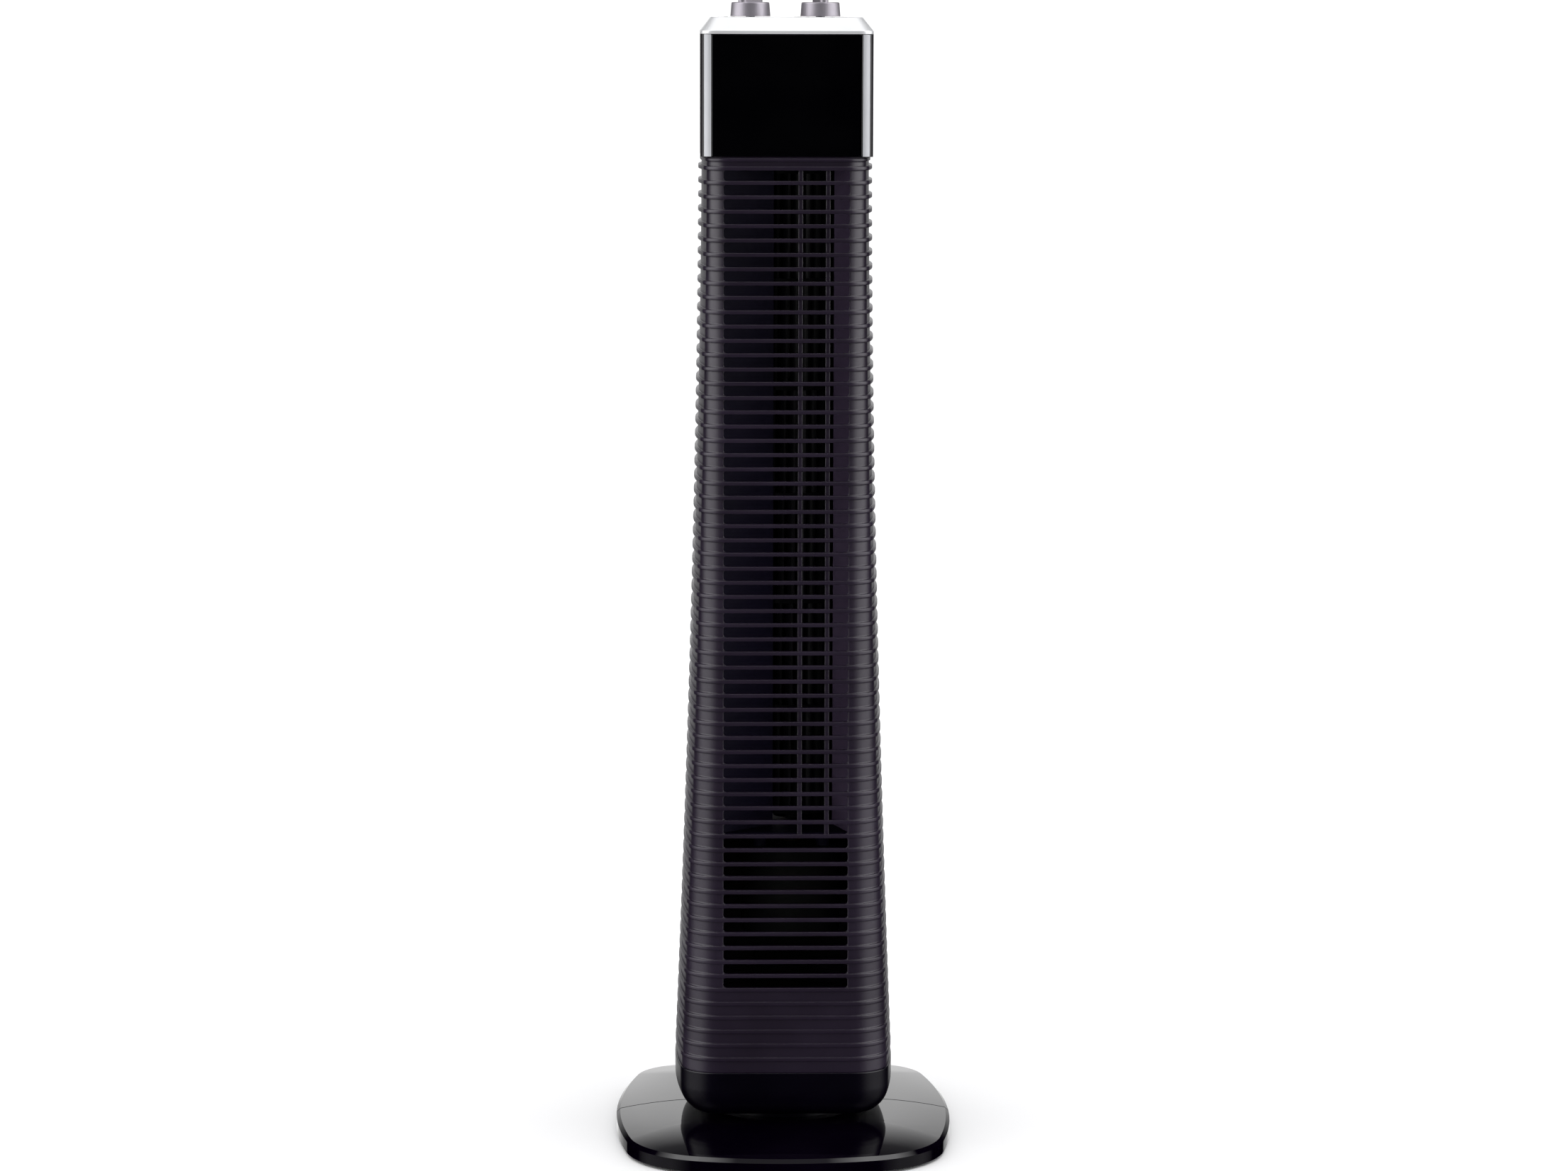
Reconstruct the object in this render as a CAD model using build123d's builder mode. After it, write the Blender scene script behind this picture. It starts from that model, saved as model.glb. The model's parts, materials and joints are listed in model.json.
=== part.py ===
"""Tower fan with a two-piece base, an oscillating ribbed tower, a cross-flow impeller and two top knobs.

Millimetres. +Z is up, the air outlet faces -Y, and X = Y = 0 is the oscillation axis. Z = 0 is the floor.
"""

import math
import os

from build123d import *

# ---------------------------------------------------------------- driving dimensions
# base
base_half_width = 115.5
base_half_depth = 140.0
base_bottom = 2.0
base_side_height = 10.0
base_rim_chamfer = 2.5
base_corner_share = 0.85
base_front_radius = 65.0
base_rear_radius = 40.0
base_dome_top = 18.5
base_dome_fall = 2.2
base_seat_half = 60.0
base_wall = 3.0
base_split_gap = 0.4
foot_radius = 8.0
foot_pocket_depth = 1.0
foot_inset_x = 31.5
foot_inset_y = 45.0

# swivel between base and tower
hub_flange_radius = 52.0
hub_flange_thickness = 3.0
hub_tube_radius = 15.0
hub_bore_radius = 10.5
thrust_gap = 0.2
bush_flange_thickness = 1.0
bush_sleeve_thickness = 3.0
bush_rise = 5.0
washer_thickness = 1.2
nut_height = 5.0
nut_wall = 3.5
swing_limit = 35.0

# oscillation drive
crank_hub_radius = 6.0
crank_gap = 0.5
crank_pin_radius = 3.0
crank_pin_clearance = 1.3
arm_end_wall = 3.0
crank_disc_thickness = 3.5
arm_thickness = 4.0
arm_half_width = 7.5
swing_motor_radius = 24.5
swing_motor_height = 19.0
swing_motor_ear_x = 33.0
swing_motor_ear_y = 18.0

# tower housing
tower_top = 673.0
tower_bottom = 55.0
tower_top_half = 56.5
tower_bottom_half = 73.8
tower_flare = 1.6
tower_wall = 2.5
side_bow_share = 0.1
corner_radius_top = 15.0
corner_radius_growth = 0.62
rear_corner_ratio = 1.6
rib_pitch = 9.54
rib_thickness = 2.5
rib_depth_top = 2.2
rib_depth_bottom = 0.8
top_band = 6.35
collar_height = 2.0
slot_half_width = 42.0
slot_count = 58
barred_slot_count = 47
bar_width = 3.0
bar_depth = 1.8
bar_positions = (9.3, 27.6)
inlet_half_width = 38.0
inlet_bar_positions = (-13.0, 13.0)

# skirt under the housing
skirt_step = 0.9
skirt_overlap = 0.8
skirt_edge_radius = 20.0
skirt_floor = 3.0
skirt_lip = 5.0

# cap, front panel, corner trims and top plate
cap_overhang = 1.0
cap_corner_front = 9.0
cap_corner_rear = 26.0
cap_height = 81.0
cap_wall = 2.5
panel_half_width = 50.0
panel_thickness = 2.0
trim_width = 5.0
panel_gap = 0.3
plate_lip = 2.0
plate_height = 11.0
plate_side_inset = 7.0
plate_front_inset = 10.0
plate_thickness = 3.0

# knobs, switch and timer
knob_spacing = 47.2
knob_radius = 13.5
knob_top_radius = 12.75
knob_height = 9.4
knob_clearance = 0.5
grip_height = 9.0
grip_thickness = 6.0
spindle_radius = 3.0
spindle_clearance = 0.05
switch_half = 15.0
switch_height = 20.0
timer_radius = 20.0
timer_height = 26.0
speed_knob_angle = 52.0
timer_knob_angle = 104.0

# impeller and its motor
impeller_x = 5.0
impeller_y = 6.0
impeller_radius = 38.0
blade_depth = 8.0
blade_thickness = 1.1
blade_count = 32
segment_count = 6
segment_disc = 2.0
impeller_lift = 7.48
impeller_drop = 5.85
end_disc_thickness = 2.5
motor_shaft_radius = 4.0
top_shaft_radius = 3.0
shaft_clearance = 0.05
duct_plate_thickness = 3.0
motor_radius = 34.0
motor_drop = 14.52
stator_height = 30.0
stator_inner_radius = 20.0
rotor_gap = 0.5
shield_depth = 16.0
shield_wall = 2.0

# fits and screws
clearance = 0.3
thread_radius = 1.6
screw_head_radius = 3.4
screw_head_height = 2.2
small_head_radius = 2.9

# ---------------------------------------------------------------- heights that follow from them
skirt_top = tower_bottom
skirt_half = tower_bottom_half + skirt_step
skirt_wall = skirt_step + tower_wall + clearance + skirt_overlap
cap_half = tower_top_half + cap_overhang
cap_top = tower_top + cap_height
plate_top = cap_top + plate_height
hub_flange_top = base_dome_top + hub_flange_thickness
skirt_bottom = hub_flange_top + bush_flange_thickness
skirt_floor_top = skirt_bottom + skirt_floor
bush_flange_bottom = hub_flange_top + thrust_gap
bush_top = skirt_floor_top + bush_rise
pivot_washer_bottom = bush_top + thrust_gap
arm_bottom = pivot_washer_bottom + washer_thickness
arm_top = arm_bottom + arm_thickness
nut_bottom = arm_top
hub_top = nut_bottom + nut_height
crank_disc_bottom = arm_top + 1.0
swing_motor_bottom = hub_top + 1.5
nut_half_across_flats = hub_tube_radius + nut_wall
nut_corner_radius = nut_half_across_flats / math.cos(math.radians(30))
crank_offset = float(math.ceil(nut_corner_radius + crank_hub_radius + crank_gap))
crank_radius = crank_offset * math.sin(math.radians(swing_limit))
first_rib = tower_top - top_band - rib_thickness / 2
rib_count = round((first_rib - tower_bottom) / rib_pitch)
last_rib = first_rib - (rib_count - 1) * rib_pitch
foot_section = last_rib - rib_pitch / 2
barred_bottom = first_rib - barred_slot_count * rib_pitch
motor_plate_bottom = barred_bottom - duct_plate_thickness / 2
motor_plate_top = motor_plate_bottom + duct_plate_thickness
bearing_plate_bottom = tower_top - top_band + 0.2
bearing_plate_top = bearing_plate_bottom + duct_plate_thickness
knob_bottom = plate_top + knob_clearance
knob_top = knob_bottom + knob_height
impeller_bottom = motor_plate_top + impeller_lift
impeller_top = bearing_plate_bottom - impeller_drop
shield_top = motor_plate_bottom - motor_drop
stator_top = shield_top - shield_depth
stator_bottom = stator_top - stator_height
shield_bottom = stator_bottom - shield_depth
blade_inner_radius = impeller_radius - blade_depth
segment_length = (impeller_top - impeller_bottom) / segment_count


# ---------------------------------------------------------------- shapes that several pieces share
def tower_half(z):
    """Half the width of the housing wall, without its ribs, at height z."""
    share = min(1.0, max(0.0, (tower_top - z) / (tower_top - tower_bottom)))
    return tower_top_half + (tower_bottom_half - tower_top_half) * share**tower_flare


def rib_depth(z):
    """How far a rib stands out of the wall at height z."""
    share = (tower_top - z) / (tower_top - tower_bottom)
    return rib_depth_top + (rib_depth_bottom - rib_depth_top) * share


def front_corner(z):
    """Radius of the housing's two front corners at height z."""
    return corner_radius_top + corner_radius_growth * (tower_half(z) - tower_top_half)


def rounded_square(half, front_radius, rear_radius):
    """Draws a square with one radius at its front corners and another at its rear ones."""
    Rectangle(2 * half, 2 * half)
    fillet(vertices().group_by(Axis.Y)[0], front_radius)
    fillet(vertices().group_by(Axis.Y)[-1], rear_radius)


def bowed_square(half, front_radius, rear_radius):
    """Draws a square whose two sides bow out to its full width, with rounded corners."""
    narrow = half * (1 - side_bow_share)
    with BuildSketch(Plane.XY, mode=Mode.PRIVATE) as outline:
        with BuildLine():
            Line((narrow, half), (-narrow, half))
            ThreePointArc((-narrow, half), (-half, 0), (-narrow, -half))
            Line((-narrow, -half), (narrow, -half))
            ThreePointArc((narrow, -half), (half, 0), (narrow, half))
        make_face()
        fillet(outline.vertices().group_by(Axis.Y)[0], front_radius)
        fillet(outline.vertices().group_by(Axis.Y)[-1], rear_radius)
    add(outline.sketch)


def tower_section(z, grow):
    """Draws the full section of the tower at height z, grown outwards by grow."""
    radius = front_corner(z)
    bowed_square(tower_half(z), radius, radius * rear_corner_ratio)
    if grow:
        offset(amount=grow)


def half_ring(z, grow, side):
    """Draws the housing wall at height z, with side -1 for its front half and 1 for its rear half."""
    tower_section(z, grow)
    offset(amount=-tower_wall - grow, mode=Mode.SUBTRACT)
    with Locations((0, -side * 2 * skirt_half)):
        Rectangle(4 * skirt_half, 4 * skirt_half, mode=Mode.SUBTRACT)


def slot_opening(z, side, half_width, bars):
    """Opens one slot through the front or rear wall at height z and leaves its upright bars."""
    face = side * tower_half(z)
    inner = face - side * tower_wall
    with Locations((0, face)):
        Rectangle(2 * half_width, 4 * tower_wall, mode=Mode.SUBTRACT)
    for x in bars:
        with Locations((x, inner + side * bar_depth / 2)):
            Rectangle(bar_width, bar_depth)


def base_section(inset, lift):
    """Makes the base's outline, moved in by inset and up by lift, as a face."""
    share = 1 - inset / base_half_width
    half_x = base_half_width - inset
    half_y = base_half_depth - inset
    corner_x = base_corner_share * half_x
    corner_y = base_corner_share * half_y
    with BuildSketch(Plane.XY.offset(lift), mode=Mode.PRIVATE) as section:
        with BuildLine():
            ThreePointArc((-corner_x, -corner_y), (0, -half_y), (corner_x, -corner_y))
            ThreePointArc((corner_x, -corner_y), (half_x, 0), (corner_x, corner_y))
            ThreePointArc((corner_x, corner_y), (0, half_y), (-corner_x, corner_y))
            ThreePointArc((-corner_x, corner_y), (-half_x, 0), (-corner_x, -corner_y))
        make_face()
        fillet(section.vertices().group_by(Axis.Y)[0], base_front_radius * share)
        fillet(section.vertices().group_by(Axis.Y)[-1], base_rear_radius * share)
    return section.sketch


def make_screw(x, y, head_bottom, length, head_radius=screw_head_radius):
    """Makes one pan-head screw that points up from its head."""
    with BuildPart(mode=Mode.PRIVATE) as screw:
        with BuildSketch(Plane.XY.offset(head_bottom)):
            with Locations((x, y)):
                Circle(head_radius)
        extrude(amount=screw_head_height)
        chamfer(screw.edges().group_by(Axis.Z)[0], 0.6)
        with BuildSketch(Plane.XY.offset(head_bottom)):
            with Locations((x, y)):
                Rectangle(3.6, 0.8)
                Rectangle(0.8, 3.6)
        extrude(amount=1.0, mode=Mode.SUBTRACT)
        with BuildSketch(Plane.XY.offset(head_bottom + screw_head_height)):
            with Locations((x, y)):
                Circle(thread_radius)
        extrude(amount=length)
    return screw.part


def write(part, name):
    """Labels a finished piece and writes its STEP file."""
    part.label = name
    export_step(part, f"parts/{name}.step")


os.makedirs("parts", exist_ok=True)

# ================================================================ base
hub_screw_offset = 0.56 * hub_flange_radius
hub_screw_places = [(s * hub_screw_offset, t * hub_screw_offset) for s in (-1, 1) for t in (-1, 1)]
foot_places = [
    (s * (base_half_width - foot_inset_x), t * (base_half_depth - foot_inset_y))
    for s in (-1, 1)
    for t in (-1, 1)
]
seat_inset = base_half_width - base_seat_half
mid_inset = 0.5 * seat_inset
mid_height = base_dome_top - base_dome_fall
rim_top = base_bottom + base_side_height

with BuildPart() as base_outer:
    extrude(base_section(0, base_bottom), amount=base_side_height - base_rim_chamfer)
    loft([base_section(0, rim_top - base_rim_chamfer), base_section(base_rim_chamfer, rim_top)], ruled=True)
    loft(
        [
            base_section(base_rim_chamfer, rim_top),
            base_section(mid_inset, mid_height),
            base_section(seat_inset, base_dome_top),
        ]
    )

with BuildPart() as base_cavity:
    extrude(base_section(base_wall, 0), amount=rim_top - base_wall)
    loft(
        [
            base_section(base_wall, rim_top - base_wall),
            base_section(mid_inset, mid_height - base_wall),
            base_section(seat_inset, base_dome_top - base_wall),
        ]
    )

stiffener_width = 1.8
stiffener_shares_x = (-0.62, -0.22, 0.22, 0.62)
stiffener_shares_y = (-0.7, -0.35, 0.35, 0.7)
with BuildPart() as base_ribs:
    with BuildSketch(Plane.XY.offset(base_bottom + 1)):
        for share in stiffener_shares_x:
            with Locations((share * base_half_width, 0)):
                Rectangle(stiffener_width, 3 * base_half_depth)
        for share in stiffener_shares_y:
            with Locations((0, share * base_half_depth)):
                Rectangle(3 * base_half_width, stiffener_width)
        with Locations(*hub_screw_places):
            Circle(screw_head_radius + 2.5)
        with Locations(*foot_places):
            Circle(foot_radius + 2)
    extrude(amount=base_dome_top)
    add(base_cavity.part, mode=Mode.INTERSECT)

cord_exit_height = base_bottom + base_side_height / 2
cord_bore_radius = 2.6
gland_sleeve_radius = 3.4


def base_half(side):
    """Makes one half of the base, with side -1 for the front and 1 for the rear."""
    with BuildPart(mode=Mode.PRIVATE) as half:
        add(base_outer.part)
        add(base_cavity.part, mode=Mode.SUBTRACT)
        add(base_ribs.part)
        with BuildSketch(Plane.XY.offset(-1)):
            Circle(hub_bore_radius)
        extrude(amount=2 * base_dome_top, mode=Mode.SUBTRACT)
        with BuildSketch(Plane.XY.offset(-1)):
            with Locations(*hub_screw_places):
                Circle(screw_head_radius + 0.4)
        extrude(amount=base_dome_top - base_wall + 1, mode=Mode.SUBTRACT)
        with BuildSketch(Plane.XY.offset(-1)):
            with Locations(*hub_screw_places):
                Circle(thread_radius + clearance)
        extrude(amount=2 * base_dome_top, mode=Mode.SUBTRACT)
        with BuildSketch(Plane.XY.offset(-1)):
            with Locations(*foot_places):
                Circle(foot_radius + 0.1)
        extrude(amount=base_bottom + 1 + foot_pocket_depth + 1, mode=Mode.SUBTRACT)
        if side > 0:
            with BuildSketch(Plane.XZ.offset(-base_half_depth - 5)):
                with Locations((0, cord_exit_height)):
                    Circle(gland_sleeve_radius + 0.05)
            extrude(amount=20, mode=Mode.SUBTRACT)
        with BuildSketch(Plane.XY.offset(-5)):
            with Locations((0, side * (-2 * base_half_depth + base_split_gap / 2))):
                Rectangle(4 * base_half_width, 4 * base_half_depth)
        extrude(amount=60, mode=Mode.SUBTRACT)
    return half.part


write(base_half(-1), "base_front")
write(base_half(1), "base_rear")

with BuildPart() as rubber_feet:
    with BuildSketch():
        with Locations(*foot_places):
            Circle(foot_radius)
    extrude(amount=base_bottom + foot_pocket_depth + 1)
    chamfer(rubber_feet.edges().group_by(Axis.Z)[0], 0.6)
write(rubber_feet.part, "rubber_feet")

with BuildPart() as cord_gland:
    with BuildSketch(Plane.XZ.offset(-base_half_depth - 1.6)):
        with Locations((0, cord_exit_height)):
            Circle(gland_sleeve_radius + 1.0)
    extrude(amount=1.5)
    with BuildSketch(Plane.XZ.offset(-base_half_depth - 1.6)):
        with Locations((0, cord_exit_height)):
            Circle(gland_sleeve_radius)
    extrude(amount=9)
    with BuildSketch(Plane.XZ.offset(-base_half_depth - 5)):
        with Locations((0, cord_exit_height)):
            Circle(cord_bore_radius)
    extrude(amount=30, mode=Mode.SUBTRACT)
write(cord_gland.part, "cord_gland")

# ================================================================ swivel
with BuildPart() as pivot_hub:
    with BuildSketch(Plane.XY.offset(base_dome_top)):
        Circle(hub_flange_radius)
    extrude(amount=hub_flange_thickness)
    chamfer(pivot_hub.edges().group_by(Axis.Z)[-1], 0.6)
    with BuildSketch(Plane.XY.offset(base_dome_top)):
        Circle(hub_tube_radius)
    extrude(amount=hub_top - base_dome_top)
    with BuildSketch(Plane.XY.offset(base_dome_top)):
        Circle(hub_bore_radius)
    extrude(amount=hub_top - base_dome_top, mode=Mode.SUBTRACT)
    with BuildSketch(Plane.XY.offset(base_dome_top)):
        with Locations(*hub_screw_places):
            Circle(thread_radius)
    extrude(amount=hub_flange_thickness, mode=Mode.SUBTRACT)
write(pivot_hub.part, "pivot_hub")

base_screw_head = base_dome_top - base_wall - screw_head_height
base_screws = Compound(
    children=[
        make_screw(x, y, base_screw_head, base_wall + hub_flange_thickness - 0.4) for x, y in hub_screw_places
    ]
)
write(base_screws, "base_screws")

with BuildPart() as pivot_washer:
    with BuildSketch(Plane.XY.offset(pivot_washer_bottom)):
        Circle(hub_tube_radius + 9)
        Circle(hub_tube_radius, mode=Mode.SUBTRACT)
    extrude(amount=washer_thickness)
write(pivot_washer.part, "pivot_washer")

with BuildPart() as pivot_nut:
    with BuildSketch(Plane.XY.offset(nut_bottom)):
        RegularPolygon(nut_half_across_flats, 6, major_radius=False)
        Circle(hub_tube_radius, mode=Mode.SUBTRACT)
    extrude(amount=nut_height)
write(pivot_nut.part, "pivot_nut")

slot_start = crank_offset * math.cos(math.radians(swing_limit)) - 1.0
slot_end = crank_offset + crank_radius + 1.0
slot_half = crank_pin_radius + crank_pin_clearance
arm_end = slot_end + slot_half + arm_end_wall

with BuildPart() as swing_arm:
    with BuildSketch(Plane.XY.offset(arm_bottom)):
        Circle(hub_tube_radius + 5)
        with Locations((0, (arm_end - arm_half_width) / 2)):
            SlotOverall(arm_end + arm_half_width, 2 * arm_half_width, rotation=90)
        Circle(hub_tube_radius, mode=Mode.SUBTRACT)
        with Locations((0, (slot_start + slot_end) / 2)):
            SlotCenterToCenter(slot_end - slot_start, 2 * slot_half, rotation=90, mode=Mode.SUBTRACT)
    extrude(amount=arm_thickness)
write(swing_arm.part, "swing_arm")

with BuildPart() as pivot_bush:
    with BuildSketch(Plane.XY.offset(bush_flange_bottom)):
        Circle(hub_flange_radius - 8)
    extrude(amount=skirt_bottom - bush_flange_bottom)
    with BuildSketch(Plane.XY.offset(bush_flange_bottom)):
        Circle(hub_tube_radius + spindle_clearance + bush_sleeve_thickness)
    extrude(amount=bush_top - bush_flange_bottom)
    with BuildSketch(Plane.XY.offset(bush_flange_bottom)):
        Circle(hub_tube_radius + spindle_clearance)
    extrude(amount=bush_top - bush_flange_bottom, mode=Mode.SUBTRACT)
write(pivot_bush.part, "pivot_bush")

# ================================================================ skirt
skirt_corner = front_corner(tower_bottom) + 1
swing_motor_ears = [(-swing_motor_ear_x, swing_motor_ear_y), (swing_motor_ear_x, swing_motor_ear_y)]
motor_post_radius = 3.6

with BuildPart() as lower_skirt:
    with BuildSketch(Plane.XY.offset(skirt_bottom)):
        bowed_square(skirt_half, skirt_corner, skirt_corner * rear_corner_ratio)
    extrude(amount=skirt_top - skirt_bottom)
    fillet(lower_skirt.edges().group_by(Axis.Z)[0], skirt_edge_radius)
    fillet(lower_skirt.edges().group_by(Axis.Z)[-1], 0.8)
    with BuildSketch(Plane.XY.offset(skirt_floor_top + skirt_edge_radius - skirt_floor)):
        bowed_square(skirt_half, skirt_corner, skirt_corner * rear_corner_ratio)
        offset(amount=-skirt_wall, mode=Mode.REPLACE)
    extrude(amount=skirt_top - skirt_bottom, mode=Mode.SUBTRACT)
    with BuildSketch(Plane.XY.offset(skirt_floor_top)):
        bowed_square(skirt_half, skirt_corner, skirt_corner * rear_corner_ratio)
        offset(amount=-skirt_edge_radius, mode=Mode.REPLACE)
    extrude(amount=skirt_top - skirt_bottom, mode=Mode.SUBTRACT)
    with BuildSketch(Plane.XY.offset(skirt_top - 6)):
        tower_section(foot_section, -tower_wall - clearance)
        offset(amount=-tower_wall, mode=Mode.SUBTRACT)
    extrude(amount=skirt_lip + 6)
    with BuildSketch(Plane.XY.offset(skirt_bottom)):
        with Locations(*swing_motor_ears):
            Circle(motor_post_radius)
    extrude(amount=swing_motor_bottom - skirt_bottom)
    with BuildSketch(Plane.XY.offset(skirt_floor_top)):
        with Locations(*swing_motor_ears):
            Circle(thread_radius)
    extrude(amount=swing_motor_bottom - skirt_floor_top, mode=Mode.SUBTRACT)
    with BuildSketch(Plane.XY.offset(skirt_bottom - 1)):
        Circle(hub_tube_radius + spindle_clearance + bush_sleeve_thickness)
    extrude(amount=skirt_floor + 2, mode=Mode.SUBTRACT)
write(lower_skirt.part, "lower_skirt")

# ================================================================ oscillation motor and crank
with BuildPart() as swing_motor:
    with BuildSketch(Plane.XY.offset(swing_motor_bottom)):
        with Locations((0, crank_offset)):
            Circle(swing_motor_radius)
        with Locations(*swing_motor_ears):
            Circle(6)
        make_hull()
    extrude(amount=1.2)
    with BuildSketch(Plane.XY.offset(swing_motor_bottom)):
        with Locations((0, crank_offset)):
            Circle(swing_motor_radius)
    extrude(amount=swing_motor_height)
    fillet(swing_motor.edges().group_by(Axis.Z)[-1], 1.5)
    with BuildSketch(Plane.XY.offset(swing_motor_bottom)):
        with Locations(*swing_motor_ears):
            Circle(thread_radius + clearance)
    extrude(amount=1.2, mode=Mode.SUBTRACT)
    with BuildSketch(Plane.XY.offset(swing_motor_bottom)):
        with Locations((0, crank_offset)):
            Circle(spindle_radius + shaft_clearance)
    extrude(amount=8, mode=Mode.SUBTRACT)
write(swing_motor.part, "swing_motor")

swing_motor_screw_parts = []
for x, y in swing_motor_ears:
    upright = make_screw(x, y, 0, 8)
    flipped = upright.mirror(Plane.XY).moved(Location((0, 0, swing_motor_bottom + 1.2 + screw_head_height)))
    swing_motor_screw_parts.append(flipped)
write(Compound(children=swing_motor_screw_parts), "swing_motor_screws")

with BuildPart() as crank:
    with BuildSketch(Plane.XY.offset(crank_disc_bottom)):
        with Locations((0, crank_offset)):
            Circle(crank_hub_radius)
        with Locations((0, crank_offset + crank_radius)):
            Circle(crank_pin_radius + 2)
        make_hull()
    extrude(amount=crank_disc_thickness)
    with BuildSketch(Plane.XY.offset(arm_bottom)):
        with Locations((0, crank_offset + crank_radius)):
            Circle(crank_pin_radius)
    extrude(amount=arm_thickness + 1.5)
    with BuildSketch(Plane.XY.offset(crank_disc_bottom)):
        with Locations((0, crank_offset)):
            Circle(spindle_radius)
    extrude(amount=crank_disc_thickness, mode=Mode.SUBTRACT)
write(crank.part, "swing_crank")

with BuildPart() as crank_shaft:
    with BuildSketch(Plane.XY.offset(crank_disc_bottom)):
        with Locations((0, crank_offset)):
            Circle(spindle_radius)
    extrude(amount=swing_motor_bottom + 7 - crank_disc_bottom)
write(crank_shaft.part, "crank_shaft")

# ================================================================ housing halves
rear_screw_x = 24.0
rear_screw_heights = (barred_bottom - rib_pitch / 2, tower_top - top_band / 2 + 0.1)


def wall_layer(bottom, height, z, grow, side, opening=None, screw_height=None):
    """Makes one level slice of the housing wall, with its slot and its screw holes where it has any."""
    with BuildPart(mode=Mode.PRIVATE) as layer:
        with BuildSketch(Plane.XY.offset(bottom)):
            half_ring(z, grow, side)
            if opening:
                slot_opening(z, side, *opening)
        extrude(amount=height)
        if screw_height:
            with BuildSketch(Plane.XZ):
                with Locations((-rear_screw_x, screw_height), (rear_screw_x, screw_height)):
                    Circle(thread_radius + clearance)
            extrude(amount=-2 * skirt_half, mode=Mode.SUBTRACT)
    return layer.part


def housing_half(side, half_width, open_slots, bars):
    """Makes one half of the ribbed housing as a stack of wall layers and ribs, open where air passes."""
    layers = []
    for i in range(rib_count):
        rib = first_rib - i * rib_pitch
        below = rib - rib_pitch / 2
        layers.append(wall_layer(rib - rib_thickness / 2, rib_thickness, below, rib_depth(rib), side))
        if i == rib_count - 1:
            layers.append(wall_layer(tower_bottom, rib - rib_thickness / 2 - tower_bottom, below, 0, side))
            continue
        opening = (half_width, bars if i < barred_slot_count else ()) if i < open_slots else None
        screw = rear_screw_heights[0] if side > 0 and i == barred_slot_count else None
        slice_bottom = rib - rib_pitch + rib_thickness / 2
        layers.append(wall_layer(slice_bottom, rib_pitch - rib_thickness, below, 0, side, opening, screw))
    band_bottom = tower_top - top_band
    if side > 0:
        layers.append(wall_layer(band_bottom, top_band, tower_top, 0, side, None, rear_screw_heights[1]))
    else:
        layers.append(wall_layer(band_bottom, top_band, tower_top, 0, side))
        layers.append(wall_layer(tower_top - 1 - collar_height, collar_height, tower_top, 1.0, side))
    with BuildPart(mode=Mode.PRIVATE) as half:
        add(layers)
    return half.part


write(housing_half(-1, slot_half_width, slot_count, bar_positions), "front_housing")
write(housing_half(1, inlet_half_width, barred_slot_count, inlet_bar_positions), "rear_housing")

# ================================================================ plates that close the air duct
impeller_centre = (impeller_x, impeller_y)
motor_post_places = [
    (impeller_x + 0.9 * motor_radius * math.cos(math.radians(a)),
     impeller_y + 0.9 * motor_radius * math.sin(math.radians(a)))
    for a in (45, 135, 225, 315)
]


def duct_plate(bottom, half_z, hole_radius, boss_z):
    """Makes a cross plate that fills the housing, with two blocks for the rear screws at boss_z."""
    rear = tower_half(half_z) - tower_wall - clearance
    with BuildPart(mode=Mode.PRIVATE) as plate:
        with BuildSketch(Plane.XY.offset(bottom)):
            tower_section(half_z, -tower_wall - clearance)
        extrude(amount=duct_plate_thickness)
        boss_bottom = min(bottom, boss_z - small_head_radius)
        boss_top = max(bottom + duct_plate_thickness, boss_z + small_head_radius)
        with BuildSketch(Plane.XY.offset(boss_bottom)):
            with Locations((-rear_screw_x, rear - 5), (rear_screw_x, rear - 5)):
                Rectangle(9, 10)
        extrude(amount=boss_top - boss_bottom)
        with BuildSketch(Plane.XZ.offset(-rear - 1)):
            with Locations((-rear_screw_x, boss_z), (rear_screw_x, boss_z)):
                Circle(thread_radius)
        extrude(amount=9, mode=Mode.SUBTRACT)
        with BuildSketch(Plane.XY.offset(bottom - 20)):
            with Locations(impeller_centre):
                Circle(hole_radius)
        extrude(amount=40, mode=Mode.SUBTRACT)
    return plate.part


rubber_radius = 9.0
bearing_radius = 6.0
motor_boss_radius = 10.0

bearing_plate = duct_plate(bearing_plate_bottom, tower_top, rubber_radius, rear_screw_heights[1])
write(bearing_plate, "bearing_plate")

with BuildPart() as motor_plate:
    add(duct_plate(motor_plate_bottom, motor_plate_top, motor_boss_radius + 2, rear_screw_heights[0]))
    with BuildSketch(Plane.XY.offset(shield_top)):
        with Locations(*motor_post_places):
            Circle(4.5)
    extrude(amount=motor_plate_top - shield_top)
    with BuildSketch(Plane.XY.offset(shield_top)):
        with Locations(*motor_post_places):
            Circle(thread_radius)
    extrude(amount=8, mode=Mode.SUBTRACT)
write(motor_plate.part, "motor_plate")

rear_screw_parts = []
for height in rear_screw_heights:
    face = tower_half(height)
    for x in (-rear_screw_x, rear_screw_x):
        upright = make_screw(x, 0, 0, tower_wall + 7, small_head_radius)
        laid = upright.rotate(Axis.X, 90).moved(Location((0, face + screw_head_height, height)))
        rear_screw_parts.append(laid)
write(Compound(children=rear_screw_parts), "rear_screws")

# ================================================================ air duct walls
duct_bottom = motor_plate_top
duct_top = bearing_plate_bottom
duct_levels = [duct_bottom + (duct_top - duct_bottom) * i / 5 for i in range(6)]
duct_wall = 2.0
running_gap = 2.5
tongue_angle = math.radians(-109)
tongue_x = impeller_x + (impeller_radius + running_gap) * math.cos(tongue_angle)
tongue_y = impeller_y + (impeller_radius + running_gap) * math.sin(tongue_angle)
lip_angle = math.radians(-52)
volute_radius = impeller_radius + running_gap + 5
volute_lip_x = impeller_x + volute_radius * math.cos(lip_angle)
volute_lip_y = impeller_y + volute_radius * math.sin(lip_angle)


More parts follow.
